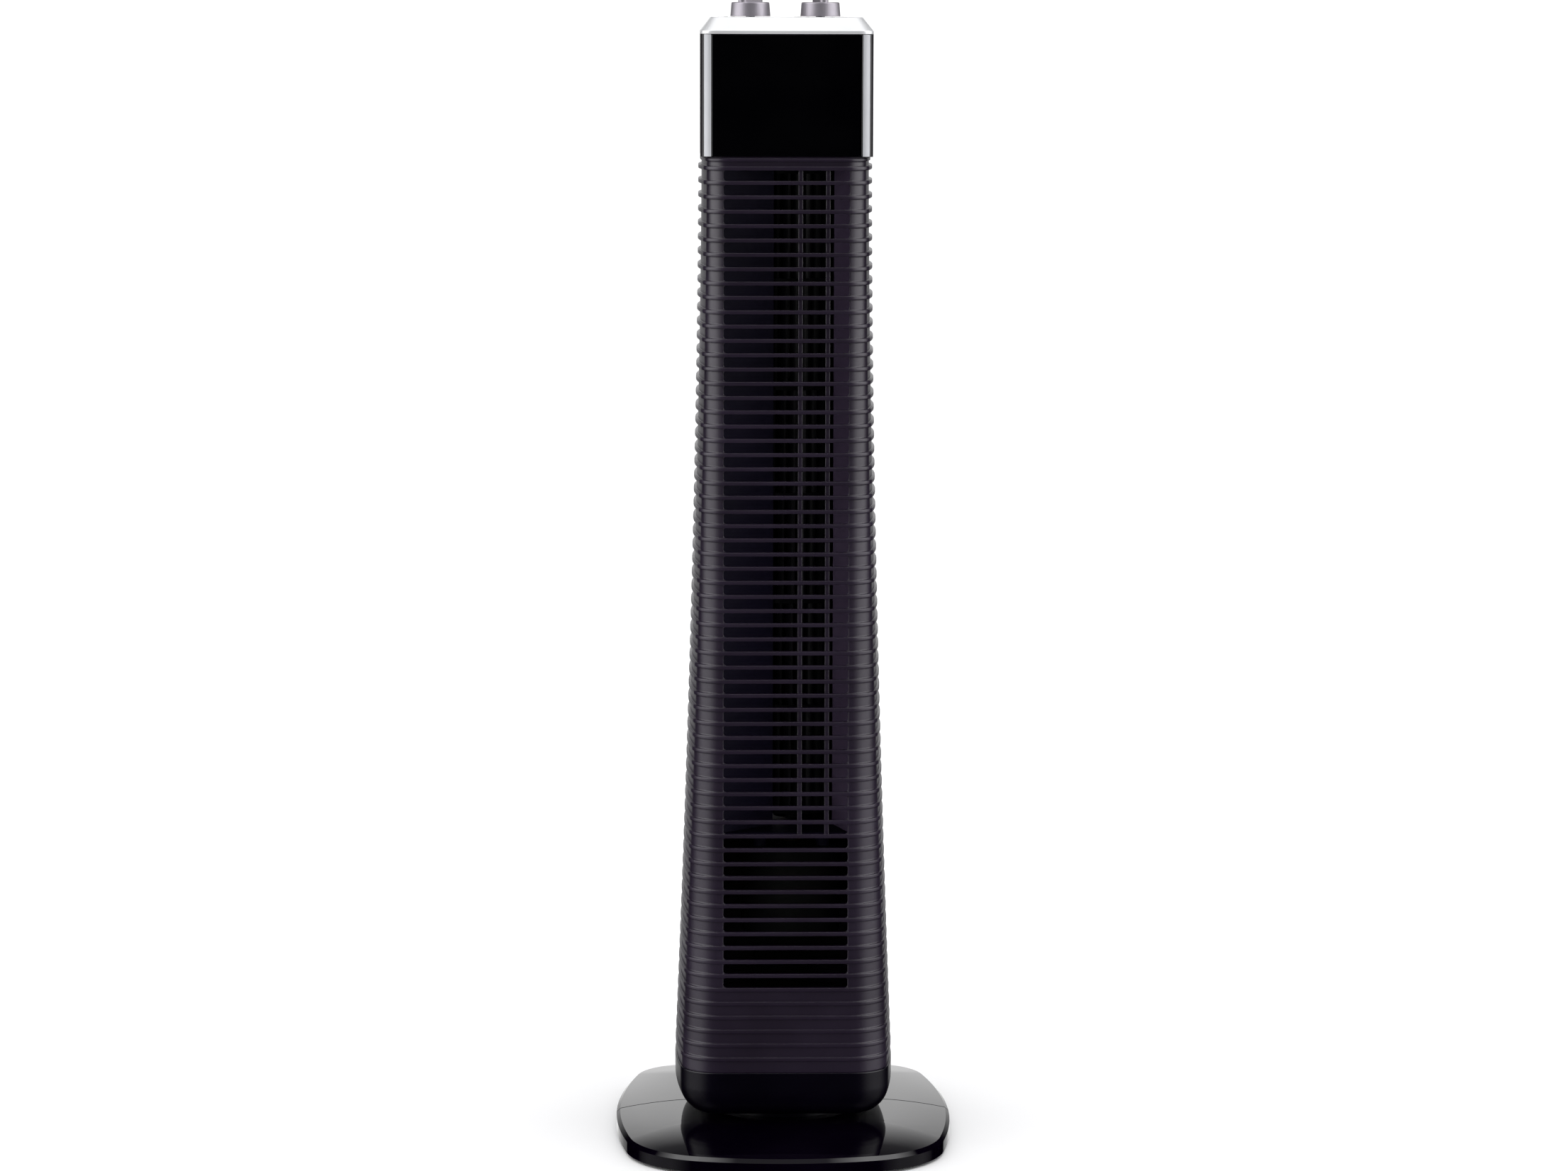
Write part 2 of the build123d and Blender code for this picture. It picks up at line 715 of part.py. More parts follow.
def slanted_wall(inner_x, inner_y, outer_x):
    """Makes a wall from a fixed upright line to the inside of the front housing, which flares."""
    sections = []
    for z in duct_levels:
        front = -tower_half(z) + tower_wall + 2 * clearance
        with BuildSketch(Plane.XY.offset(z), mode=Mode.PRIVATE) as section:
            Polygon(
                (inner_x, inner_y),
                (outer_x, front),
                (outer_x, front + duct_wall * 1.4),
                (inner_x, inner_y + duct_wall * 1.4),
                align=None,
            )
        sections.append(section.sketch)
    return loft(sections, ruled=True, mode=Mode.PRIVATE)


with BuildPart() as stabiliser:
    add(slanted_wall(tongue_x, tongue_y, -slot_half_width - 1))
    with BuildSketch(Plane.XY.offset(duct_bottom)):
        with Locations((tongue_x - 4, tongue_y + duct_wall)):
            Rectangle(10, duct_wall)
    extrude(amount=duct_top - duct_bottom)
    with BuildSketch(Plane.XY.offset(duct_bottom)):
        with Locations(impeller_centre):
            Circle(impeller_radius + running_gap - 0.5)
    extrude(amount=duct_top - duct_bottom, mode=Mode.SUBTRACT)
write(stabiliser.part, "stabiliser")

with BuildPart() as volute:
    with BuildSketch(Plane.XY.offset(duct_bottom)):
        with Locations(impeller_centre):
            Circle(volute_radius + duct_wall)
            Circle(volute_radius, mode=Mode.SUBTRACT)
        with Locations((impeller_x - 2 * volute_radius, impeller_y)):
            Rectangle(4 * volute_radius, 4 * volute_radius, mode=Mode.SUBTRACT)
        with BuildLine():
            Polyline(
                impeller_centre,
                (impeller_x, impeller_y - 2 * volute_radius),
                (impeller_x + 2 * volute_radius * math.cos(lip_angle),
                 impeller_y + 2 * volute_radius * math.sin(lip_angle)),
                close=True,
            )
        make_face(mode=Mode.SUBTRACT)
    extrude(amount=duct_top - duct_bottom)
    add(slanted_wall(volute_lip_x - 0.5, volute_lip_y, slot_half_width + 1))
write(volute.part, "volute")

# ================================================================ impeller
with BuildSketch() as blade:
    with BuildLine():
        outer_curve = ThreePointArc(
            (blade_inner_radius, 0), (impeller_radius - 3.6, 1.5), (impeller_radius - 0.4, 5.2)
        )
        inner_curve = ThreePointArc(
            (blade_inner_radius, blade_thickness), (impeller_radius - 4.0, 2.6), (impeller_radius - 0.9, 6.2)
        )
        Line(outer_curve @ 0, inner_curve @ 0)
        Line(outer_curve @ 1, inner_curve @ 1)
    make_face()


def impeller_segment(index):
    """Makes one moulded segment: a disc with its ring of blades, turned a little from the last one."""
    bottom = impeller_bottom + index * segment_length
    bore = rubber_radius if index == 0 else blade_inner_radius - 6
    turn = index * 360 / blade_count / segment_count
    with BuildPart(mode=Mode.PRIVATE) as segment:
        with BuildSketch(Plane.XY.offset(bottom)):
            with Locations(impeller_centre):
                Circle(impeller_radius)
                Circle(bore, mode=Mode.SUBTRACT)
        extrude(amount=segment_disc)
        with BuildSketch(Plane.XY.offset(bottom + segment_disc)):
            with Locations(impeller_centre):
                with PolarLocations(0, blade_count, start_angle=turn):
                    add(blade.sketch)
        extrude(amount=segment_length - segment_disc)
    return segment.part


for index in range(segment_count):
    write(impeller_segment(index), f"impeller_segment_{index + 1}")

with BuildPart() as impeller_top_disc:
    with BuildSketch(Plane.XY.offset(impeller_top)):
        with Locations(impeller_centre):
            Circle(impeller_radius)
    extrude(amount=end_disc_thickness)
    with BuildSketch(Plane.XY.offset(impeller_top - 5)):
        with Locations(impeller_centre):
            Circle(7)
    extrude(amount=end_disc_thickness + 6.5)
    with BuildSketch(Plane.XY.offset(impeller_top - 5)):
        with Locations(impeller_centre):
            Circle(top_shaft_radius)
    extrude(amount=end_disc_thickness + 10, mode=Mode.SUBTRACT)
write(impeller_top_disc.part, "impeller_top_disc")

with BuildPart() as impeller_top_shaft:
    with BuildSketch(Plane.XY.offset(impeller_top - 5)):
        with Locations(impeller_centre):
            Circle(top_shaft_radius)
    extrude(amount=bearing_plate_top + 2 - impeller_top + 5)
    chamfer(impeller_top_shaft.edges().group_by(Axis.Z)[-1], 0.5)
write(impeller_top_shaft.part, "impeller_top_shaft")

with BuildPart() as impeller_hub:
    with BuildSketch(Plane.XY.offset(impeller_bottom - 4)):
        with Locations(impeller_centre):
            Circle(rubber_radius + 4)
    extrude(amount=4)
    with BuildSketch(Plane.XY.offset(impeller_bottom)):
        with Locations(impeller_centre):
            Circle(rubber_radius)
    extrude(amount=8)
    with BuildSketch(Plane.XY.offset(impeller_bottom - 4)):
        with Locations(impeller_centre):
            Circle(motor_shaft_radius)
    extrude(amount=12, mode=Mode.SUBTRACT)
write(impeller_hub.part, "impeller_hub")


def bearing_ring(outer, inner, bottom, height):
    """Makes a plain ring on the impeller axis."""
    with BuildPart(mode=Mode.PRIVATE) as ring:
        with BuildSketch(Plane.XY.offset(bottom)):
            with Locations(impeller_centre):
                Circle(outer)
                Circle(inner, mode=Mode.SUBTRACT)
        extrude(amount=height)
    return ring.part


write(bearing_ring(rubber_radius, bearing_radius, bearing_plate_bottom, duct_plate_thickness), "bearing_rubber")
write(
    bearing_ring(bearing_radius, top_shaft_radius + shaft_clearance, bearing_plate_bottom, duct_plate_thickness),
    "top_bearing",
)

# ================================================================ fan motor
shaft_bottom = shield_bottom - 4

with BuildPart() as motor_shaft:
    with BuildSketch(Plane.XY.offset(shaft_bottom)):
        with Locations(impeller_centre):
            Circle(motor_shaft_radius)
    extrude(amount=impeller_bottom + 6 - shaft_bottom)
write(motor_shaft.part, "motor_shaft")

with BuildPart() as motor_rotor:
    with BuildSketch(Plane.XY.offset(stator_bottom)):
        with Locations(impeller_centre):
            Circle(stator_inner_radius - rotor_gap)
            Circle(motor_shaft_radius, mode=Mode.SUBTRACT)
    extrude(amount=stator_top - stator_bottom)
write(motor_rotor.part, "motor_rotor")

with BuildPart() as motor_stator:
    with BuildSketch(Plane.XY.offset(stator_bottom)):
        with Locations(impeller_centre):
            Circle(motor_radius)
            Circle(stator_inner_radius, mode=Mode.SUBTRACT)
            with PolarLocations(stator_inner_radius + 3.5, 12):
                Circle(2.6, mode=Mode.SUBTRACT)
    extrude(amount=stator_top - stator_bottom)
write(motor_stator.part, "motor_stator")

with BuildPart() as motor_windings:
    for bottom in (stator_bottom - 9, stator_top):
        with BuildSketch(Plane.XY.offset(bottom)):
            with Locations(impeller_centre):
                Circle(motor_radius - 6)
                Circle(stator_inner_radius + 1, mode=Mode.SUBTRACT)
    extrude(amount=9)
    fillet(motor_windings.edges().group_by(Axis.Z)[0], 2)
    fillet(motor_windings.edges().group_by(Axis.Z)[-1], 2)
write(motor_windings.part, "motor_windings")


def end_shield(outer_face, stator_face):
    """Makes a pressed motor end shield between its flat outer face and the stator, with a bearing boss."""
    inward = 1 if stator_face > outer_face else -1
    depth = abs(stator_face - outer_face)
    bearing_hole = motor_boss_radius - 3
    with BuildPart(mode=Mode.PRIVATE) as shield:
        with BuildSketch(Plane.XY.offset(outer_face)):
            with Locations(impeller_centre):
                Circle(motor_radius)
        extrude(amount=inward * depth)
        with BuildSketch(Plane.XY.offset(outer_face + inward * shield_wall)):
            with Locations(impeller_centre):
                Circle(motor_radius - shield_wall)
                Circle(motor_boss_radius, mode=Mode.SUBTRACT)
        extrude(amount=inward * depth, mode=Mode.SUBTRACT)
        with BuildSketch(Plane.XY.offset(outer_face)):
            with Locations(impeller_centre):
                with PolarLocations(motor_radius * 0.58, 8, start_angle=22.5):
                    Circle(3.6)
                Circle(bearing_hole)
        extrude(amount=inward * depth, mode=Mode.SUBTRACT)
        with BuildSketch(Plane.XY.offset(outer_face)):
            with Locations(impeller_centre):
                Circle(motor_boss_radius)
        extrude(amount=inward * (depth - 4), mode=Mode.ADD)
        with BuildSketch(Plane.XY.offset(outer_face)):
            with Locations(impeller_centre):
                Circle(bearing_hole)
            with Locations(*motor_post_places):
                Circle(thread_radius + clearance)
        extrude(amount=inward * (depth - 4), mode=Mode.SUBTRACT)
        with BuildSketch(Plane.XY.offset(outer_face + inward * (depth - 4))):
            with Locations(impeller_centre):
                Circle(motor_boss_radius + 5)
        extrude(amount=inward * 10, mode=Mode.SUBTRACT)
    return shield.part


write(end_shield(shield_top, stator_top), "motor_upper_shield")
write(end_shield(shield_bottom, stator_bottom), "motor_lower_shield")
bearing_height = shield_depth - 6
write(
    bearing_ring(motor_boss_radius - 3, motor_shaft_radius + shaft_clearance, shield_bottom, bearing_height),
    "motor_lower_bearing",
)
write(
    bearing_ring(
        motor_boss_radius - 3, motor_shaft_radius + shaft_clearance, shield_top - bearing_height, bearing_height
    ),
    "motor_upper_bearing",
)

# ================================================================ run capacitor and its clip
capacitor_width = 38.0
capacitor_depth = 17.0
capacitor_height = 28.0
capacitor_bottom = 84.0
clip_thickness = 1.5
capacitor_rear = tower_half(capacitor_bottom + capacitor_height) - tower_wall - clearance - clip_thickness

with BuildPart() as run_capacitor:
    with BuildSketch(Plane.XY.offset(capacitor_bottom)):
        with Locations((0, capacitor_rear - capacitor_depth / 2)):
            RectangleRounded(capacitor_width, capacitor_depth, 2.5)
    extrude(amount=capacitor_height)
write(run_capacitor.part, "run_capacitor")

with BuildPart() as capacitor_clip:
    with BuildSketch(Plane.XY.offset(capacitor_bottom + 8)):
        with Locations((0, capacitor_rear - capacitor_depth / 2)):
            RectangleRounded(capacitor_width + 2 * clip_thickness, capacitor_depth + 2 * clip_thickness, 3.5)
            RectangleRounded(capacitor_width, capacitor_depth, 2.5, mode=Mode.SUBTRACT)
    extrude(amount=10)
write(capacitor_clip.part, "capacitor_clip")

with BuildPart() as terminal_block:
    with BuildSketch(Plane.XY.offset(skirt_floor_top)):
        with Locations((0, -40)):
            Rectangle(30, 14)
    extrude(amount=11)
    with BuildSketch(Plane.XY.offset(skirt_floor_top + 5)):
        with GridLocations(10, 1, 3, 1):
            with Locations((0, -40)):
                Circle(2.4)
    extrude(amount=10, mode=Mode.SUBTRACT)
write(terminal_block.part, "terminal_block")

# ================================================================ cap
def cap_section(inset):
    """Draws the cap's section moved in by inset."""
    rounded_square(cap_half - inset, max(1.0, cap_corner_front - inset), cap_corner_rear - inset)


trim_outer = panel_half_width + trim_width
trim_depth = 12.0
cap_spigot_depth = 2.8
cap_spigot_wall = 2.0

with BuildPart() as cap_shell:
    with BuildSketch(Plane.XY.offset(tower_top)):
        cap_section(0)
        with Locations((0, -cap_half + trim_depth / 2)):
            Rectangle(2 * trim_outer, trim_depth, mode=Mode.SUBTRACT)
    extrude(amount=cap_height)
    with BuildSketch(Plane.XY.offset(tower_top)):
        cap_section(panel_thickness)
    extrude(amount=cap_height)
    with BuildSketch(Plane.XY.offset(tower_top)):
        cap_section(panel_thickness + cap_wall)
    extrude(amount=cap_height, mode=Mode.SUBTRACT)
    with BuildSketch(Plane.XY.offset(tower_top - cap_spigot_depth)):
        tower_section(tower_top, -tower_wall - clearance)
        offset(amount=-cap_spigot_wall, mode=Mode.SUBTRACT)
        with Locations((0, 2 * cap_half - 20)):
            Rectangle(4 * cap_half, 2 * cap_half, mode=Mode.SUBTRACT)
    extrude(amount=2 * cap_spigot_depth)
write(cap_shell.part, "cap_shell")

with BuildPart() as front_panel:
    with BuildSketch(Plane.XY.offset(tower_top + panel_gap)):
        with Locations((0, -cap_half + panel_thickness / 2)):
            Rectangle(2 * panel_half_width, panel_thickness)
    extrude(amount=cap_height - 2 * panel_gap)
    chamfer(front_panel.faces().sort_by(Axis.Y)[0].edges(), 0.4)
write(front_panel.part, "front_panel")

for side, name in ((-1, "left_trim"), (1, "right_trim")):
    with BuildPart() as trim:
        with BuildSketch(Plane.XY.offset(tower_top + panel_gap)):
            cap_section(0)
            offset(amount=-panel_thickness, mode=Mode.SUBTRACT)
            with Locations((side * (panel_half_width + panel_gap / 2 + trim_width / 2), -cap_half + trim_depth / 2)):
                Rectangle(trim_width - panel_gap, trim_depth, mode=Mode.INTERSECT)
        extrude(amount=cap_height - 2 * panel_gap)
    write(trim.part, name)

# ================================================================ top plate
def plate_section(side_inset, front_inset, lift):
    """Makes the top plate's outline at height lift, drawn in from the cap's outline."""
    with BuildSketch(Plane.XY.offset(lift), mode=Mode.PRIVATE) as section:
        Rectangle(2 * (cap_half - side_inset), 2 * (cap_half - front_inset))
        fillet(section.vertices().group_by(Axis.Y)[0], cap_corner_front - side_inset * 0.5)
        fillet(section.vertices().group_by(Axis.Y)[-1], cap_corner_rear - side_inset)
    return section.sketch


knob_places = {"speed": (-knob_spacing / 2, 0.0), "timer": (knob_spacing / 2, 0.0)}
plate_cavity_top = plate_top - plate_thickness
ear_y = timer_radius + 3.5

with BuildPart() as top_plate:
    extrude(plate_section(0, 0, cap_top), amount=plate_lip)
    loft(
        [plate_section(0, 0, cap_top + plate_lip), plate_section(plate_side_inset, plate_front_inset, plate_top)],
        ruled=True,
    )
    extrude(plate_section(plate_side_inset + 4, plate_front_inset + 3, cap_top),
            amount=plate_height - plate_thickness, mode=Mode.SUBTRACT)
    with BuildSketch(Plane.XY.offset(plate_cavity_top)):
        with Locations(*knob_places.values()):
            Circle(spindle_radius + 1.5)
    extrude(amount=plate_thickness, mode=Mode.SUBTRACT)
    with BuildSketch(Plane.XY.offset(plate_cavity_top)):
        with Locations(*[(x, s * ear_y) for x, _ in knob_places.values() for s in (-1, 1)]):
            Circle(thread_radius)
    extrude(amount=plate_thickness - 0.8, mode=Mode.SUBTRACT)
write(top_plate.part, "top_plate")


# ================================================================ speed switch, timer, spindles and knobs
def control_body(place, section, height, name):
    """Makes a control that hangs from the top plate: its body, its two ears and its spindle hole."""
    with BuildPart() as body:
        with BuildSketch(Plane.XY.offset(plate_cavity_top - height)):
            with Locations(place):
                add(section)
        extrude(amount=height)
        with BuildSketch(Plane.XY.offset(plate_cavity_top - 2)):
            with Locations(place):
                Rectangle(9, 2 * ear_y + 7)
        extrude(amount=2)
        with BuildSketch(Plane.XY.offset(plate_cavity_top - 2)):
            with Locations(*[(place[0], s * ear_y) for s in (-1, 1)]):
                Circle(1.6)
        extrude(amount=2, mode=Mode.SUBTRACT)
        with BuildSketch(Plane.XY.offset(plate_cavity_top - height / 2)):
            with Locations(place):
                Circle(spindle_radius + spindle_clearance)
        extrude(amount=height, mode=Mode.SUBTRACT)
    write(body.part, name)


with BuildSketch() as switch_section:
    RectangleRounded(2 * switch_half, 2 * switch_half, 3)
with BuildSketch() as timer_section:
    Circle(timer_radius)
control_body(knob_places["speed"], switch_section.sketch, switch_height, "speed_switch")
control_body(knob_places["timer"], timer_section.sketch, timer_height, "timer_body")

control_screw_parts = [
    make_screw(x, s * ear_y, plate_cavity_top - 2 - screw_head_height, 4)
    for x, _ in knob_places.values()
    for s in (-1, 1)
]
write(Compound(children=control_screw_parts), "control_screws")


def knob(place, angle, name):
    """Makes a tapered round knob with a raised bar grip turned to angle from +X."""
    with BuildPart() as body:
        with BuildSketch(Plane.XY.offset(knob_bottom)):
            with Locations(place):
                Circle(knob_radius)
        with BuildSketch(Plane.XY.offset(knob_top)):
            with Locations(place):
                Circle(knob_top_radius)
        loft(ruled=True)
        fillet(body.edges().group_by(Axis.Z)[-1], 1.0)
        with BuildSketch(Plane.XY.offset(knob_top - 1)):
            with Locations(place):
                SlotOverall(2 * knob_top_radius - 2.4, grip_thickness, rotation=angle)
        extrude(amount=grip_height + 1)
        fillet(body.edges().group_by(Axis.Z)[-1], 1.2)
        with BuildSketch(Plane.XY.offset(knob_bottom)):
            with Locations(place):
                Circle(spindle_radius)
        extrude(amount=knob_height - 2, mode=Mode.SUBTRACT)
    write(body.part, name)


def spindle(place, height, name):
    """Makes the spindle that joins a knob to its switch or timer."""
    bottom = plate_cavity_top - height / 2
    with BuildPart() as rod:
        with BuildSketch(Plane.XY.offset(bottom)):
            with Locations(place):
                Circle(spindle_radius)
        extrude(amount=knob_top - 2 - bottom)
    write(rod.part, name)


knob(knob_places["speed"], speed_knob_angle, "speed_knob")
knob(knob_places["timer"], timer_knob_angle, "timer_knob")
spindle(knob_places["speed"], switch_height, "speed_spindle")
spindle(knob_places["timer"], timer_height, "timer_spindle")
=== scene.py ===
"""Looks of the tower fan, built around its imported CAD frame. Metres, Z up, the front faces -Y."""

import math

import bmesh
import bpy
from mathutils import Matrix, Vector
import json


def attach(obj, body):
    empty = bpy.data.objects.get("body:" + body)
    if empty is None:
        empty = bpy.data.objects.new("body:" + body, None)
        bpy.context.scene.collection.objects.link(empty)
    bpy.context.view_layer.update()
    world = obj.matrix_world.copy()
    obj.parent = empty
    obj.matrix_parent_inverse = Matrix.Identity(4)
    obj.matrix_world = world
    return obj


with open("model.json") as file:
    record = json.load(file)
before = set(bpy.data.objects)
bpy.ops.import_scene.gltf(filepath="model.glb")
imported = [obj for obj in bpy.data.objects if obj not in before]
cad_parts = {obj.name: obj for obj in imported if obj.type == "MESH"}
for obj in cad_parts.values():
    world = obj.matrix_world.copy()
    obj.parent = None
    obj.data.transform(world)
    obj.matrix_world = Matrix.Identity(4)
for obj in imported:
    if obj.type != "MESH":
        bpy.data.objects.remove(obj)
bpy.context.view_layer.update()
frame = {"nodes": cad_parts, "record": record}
nodes = frame["nodes"]


# ---------------------------------------------------------------- small tools
def srgb(r, g, b):
    """Linear colour of an sRGB one given as 0 to 255."""
    def linear(v):
        v /= 255
        return v / 12.92 if v <= 0.04045 else ((v + 0.055) / 1.055) ** 2.4

    return (linear(r), linear(g), linear(b), 1.0)


class Nodes:
    """Builds one material's node tree with few words."""

    def __init__(self, name):
        self.material = bpy.data.materials.new(name)
        self.material.use_nodes = True
        self.tree = self.material.node_tree
        self.shader = self.tree.nodes["Principled BSDF"]

    def add(self, kind, **values):
        node = self.tree.nodes.new(kind)
        for key, value in values.items():
            setattr(node, key, value)
        return node

    def link(self, source, target):
        self.tree.links.new(source, target)

    def set(self, **values):
        for key, value in values.items():
            self.shader.inputs[key.replace("_", " ")].default_value = value

    def noise(self, scale, detail, roughness=0.55):
        """Noise in the object's own coordinates, scale in features per metre."""
        coordinates = self.add("ShaderNodeTexCoord").outputs["Object"]
        noise = self.add("ShaderNodeTexNoise")
        noise.inputs["Scale"].default_value = scale
        noise.inputs["Detail"].default_value = detail
        noise.inputs["Roughness"].default_value = roughness
        self.link(coordinates, noise.inputs["Vector"])
        return noise.outputs["Fac"]

    def ramp(self, factor, *stops):
        """Colour ramp from (place, colour) stops."""
        ramp = self.add("ShaderNodeValToRGB")
        elements = ramp.color_ramp.elements
        while len(elements) < len(stops):
            elements.new(0.5)
        for element, (place, colour) in zip(elements, stops):
            element.position = place
            element.color = colour
        self.link(factor, ramp.inputs["Fac"])
        return ramp.outputs["Color"]

    def spread(self, factor, low, high):
        """Maps a factor of 0 to 1 onto low to high."""
        spread = self.add("ShaderNodeMapRange")
        spread.inputs["To Min"].default_value = low
        spread.inputs["To Max"].default_value = high
        self.link(factor, spread.inputs["Value"])
        return spread.outputs["Result"]

    def bump(self, height, strength, distance, edge=0.0):
        """Grain on the surface, over edges that shade as if rounded to the radius edge."""
        bump = self.add("ShaderNodeBump")
        if edge:
            rounded = self.add("ShaderNodeBevel", samples=6)
            rounded.inputs["Radius"].default_value = edge
            self.link(rounded.outputs["Normal"], bump.inputs["Normal"])
        bump.inputs["Strength"].default_value = strength
        bump.inputs["Distance"].default_value = distance
        self.link(height, bump.inputs["Height"])
        self.link(bump.outputs["Normal"], self.shader.inputs["Normal"])


DRIFT_SCALE, DRIFT_DETAIL, DRIFT_LOW, DRIFT_HIGH = 14.0, 2.0, 0.35, 0.65
SMEAR_SCALE, SMEAR_DETAIL, SMEAR_ROUGHNESS = 55.0, 5.0, 0.65
GRAIN_DETAIL, GRAIN_HEIGHT = 2.0, 0.00006


def drifting_colour(m, dark, light):
    """Colour that drifts slowly between dark and light."""
    drift = m.noise(DRIFT_SCALE, DRIFT_DETAIL)
    m.link(m.ramp(drift, (DRIFT_LOW, dark), (DRIFT_HIGH, light)), m.shader.inputs["Base Color"])


def smeared_sheen(m, low, high):
    """Roughness that varies between low and high, as a handled surface does."""
    return m.spread(m.noise(SMEAR_SCALE, SMEAR_DETAIL, SMEAR_ROUGHNESS), low, high)


def plastic(
    name, dark, light, rough_low, rough_high, grain, grain_strength, metallic=0.0, ior=1.45, edge=0.0
):
    """Moulded plastic or paint: slow colour drift, uneven sheen and a fine grain."""
    m = Nodes(name)
    drifting_colour(m, dark, light)
    m.link(smeared_sheen(m, rough_low, rough_high), m.shader.inputs["Roughness"])
    if grain_strength:
        m.bump(m.noise(grain, GRAIN_DETAIL), grain_strength, GRAIN_HEIGHT, edge)
    m.set(Metallic=metallic, IOR=ior)
    return m.material


def lacquer_with_seam(name, dark, light, rough_low, rough_high, ior, seam, half_width):
    """Glossy moulding whose two halves meet in a dull dark line at the depth seam."""
    m = Nodes(name)
    drifting_colour(m, dark, light)
    apart = m.add("ShaderNodeSeparateXYZ")
    m.link(m.add("ShaderNodeNewGeometry").outputs["Position"], apart.inputs[0])
    from_seam = m.add("ShaderNodeMath", operation="SUBTRACT")
    from_seam.inputs[1].default_value = seam
    m.link(apart.outputs["Y"], from_seam.inputs[0])
    distance = m.add("ShaderNodeMath", operation="ABSOLUTE")
    m.link(from_seam.outputs[0], distance.inputs[0])
    inside = m.add("ShaderNodeMath", operation="LESS_THAN")
    inside.inputs[1].default_value = half_width
    m.link(distance.outputs[0], inside.inputs[0])
    dulled = m.add("ShaderNodeMath", operation="MAXIMUM")
    m.link(smeared_sheen(m, rough_low, rough_high), dulled.inputs[0])
    m.link(inside.outputs[0], dulled.inputs[1])
    m.link(dulled.outputs[0], m.shader.inputs["Roughness"])
    m.set(IOR=ior)
    return m.material


materials = {
    "housing_plastic": plastic(
        "housing_plastic", srgb(27, 18, 34), srgb(33, 24, 41), 0.30, 0.38, 2600.0, 0.30, edge=0.0012
    ),
    "skirt_black": plastic("skirt_black", srgb(2, 0, 8), srgb(5, 2, 13), 0.26, 0.32, 2600.0, 0.15, ior=1.3),
    "base_gloss": lacquer_with_seam(
        "base_gloss", srgb(2, 0, 6), srgb(5, 2, 10), 0.03, 0.07, 1.36, 0.0, 0.0007
    ),
    "cap_plastic": plastic("cap_plastic", srgb(8, 4, 12), srgb(13, 9, 18), 0.30, 0.40, 2600.0, 0.25),
    "panel_gloss": plastic("panel_gloss", srgb(1, 1, 2), srgb(3, 3, 4), 0.03, 0.06, 0, 0, ior=1.3),
    "silver_paint": plastic(
        "silver_paint", srgb(164, 165, 169), srgb(178, 179, 183), 0.36, 0.44, 5200.0, 0.3, metallic=0.2
    ),
    "plate_silver": plastic(
        "plate_silver", srgb(214, 215, 217), srgb(226, 227, 229), 0.32, 0.40, 5200.0, 0.3,
        metallic=0.45, edge=0.0008,
    ),
    "knob_silver": plastic(
        "knob_silver", srgb(134, 129, 137), srgb(146, 142, 149), 0.38, 0.46, 5200.0, 0.3,
        metallic=0.6, edge=0.0006,
    ),
    "rubber": plastic("rubber", srgb(16, 16, 17), srgb(24, 24, 25), 0.62, 0.8, 1800.0, 0.5),
    "steel": plastic("steel", srgb(150, 152, 156), srgb(176, 177, 180), 0.25, 0.4, 3000.0, 0.2, metallic=1.0),
    "impeller_plastic": plastic(
        "impeller_plastic", srgb(3, 3, 5), srgb(8, 7, 11), 0.36, 0.46, 2600.0, 0.2, ior=1.2
    ),
    "inner_plastic": plastic(
        "inner_plastic", srgb(11, 8, 22), srgb(17, 13, 30), 0.5, 0.6, 2600.0, 0.3, ior=1.15
    ),
    "bearing_metal": plastic(
        "bearing_metal", srgb(120, 90, 48), srgb(146, 112, 66), 0.35, 0.5, 6000.0, 0.4, metallic=1.0
    ),
    "nylon": plastic("nylon", srgb(204, 200, 188), srgb(216, 213, 203), 0.4, 0.5, 2600.0, 0.2),
    "copper": plastic("copper", srgb(60, 26, 14), srgb(80, 38, 22), 0.3, 0.42, 1200.0, 0.9, metallic=0.4),
    "laminated_steel": plastic(
        "laminated_steel", srgb(9, 9, 10), srgb(16, 16, 18), 0.4, 0.55, 3000.0, 0.4, metallic=0.2
    ),
    "capacitor_case": plastic("capacitor_case", srgb(7, 5, 12), srgb(12, 9, 18), 0.4, 0.5, 2600.0, 0.2),
    # Near black where bare aluminium would be bright: painted shade for the motor's end shields deep inside
    # the housing.
    "aluminium": plastic(
        "aluminium", srgb(9, 9, 10), srgb(15, 15, 17), 0.4, 0.5, 2200.0, 0.4, metallic=0.2
    ),
}

for row in frame["record"]["subparts"]:
    node = nodes[row["node"]]
    node.data.materials.clear()
    node.data.materials.append(materials[row["material_slot"]])


# The volute gets a much lighter copy of the inner plastic: painted light, so that its shaded wall behind the
# slots shows bright.
nodes["volute"].data.materials[0] = plastic(
    "painted_light_duct_wall", srgb(78, 66, 88), srgb(88, 76, 98), 0.5, 0.6, 2600.0, 0.3, ior=1.15
)


# ---------------------------------------------------------------- fuller impeller blades
WELD_DISTANCE, BLADE_GROWTH, SEGMENT_COUNT = 0.00001, 0.0005, 6


def thicken(node_name, amount):
    """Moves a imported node's surface outwards with modifiers, so its mesh stays as it is."""
    node = nodes[node_name]
    weld = node.modifiers.new("weld", "WELD")
    weld.merge_threshold = WELD_DISTANCE
    thicker = node.modifiers.new("thicker", "DISPLACE")
    thicker.mid_level = 0.0
    thicker.strength = amount


for segment in range(1, SEGMENT_COUNT + 1):
    thicken(f"impeller_segment_{segment}", BLADE_GROWTH)


# ---------------------------------------------------------------- rounded slot ends
MM = 0.001
TOWER_TOP, TOWER_BOTTOM = 673.0, 55.0
HALF_AT_TOP, HALF_AT_BOTTOM, FLARE = 56.5, 73.8, 1.6
RIB_PITCH, RIB_THICKNESS, TOP_BAND = 9.54, 2.5, 6.35
SLOT_HALF_WIDTH, SLOT_COUNT, WALL = 42.0, 58, 2.5
SLOT_END_RADIUS, SLOT_END_STEPS, BURIED, SHY = 1.8, 5, 0.25, 0.05


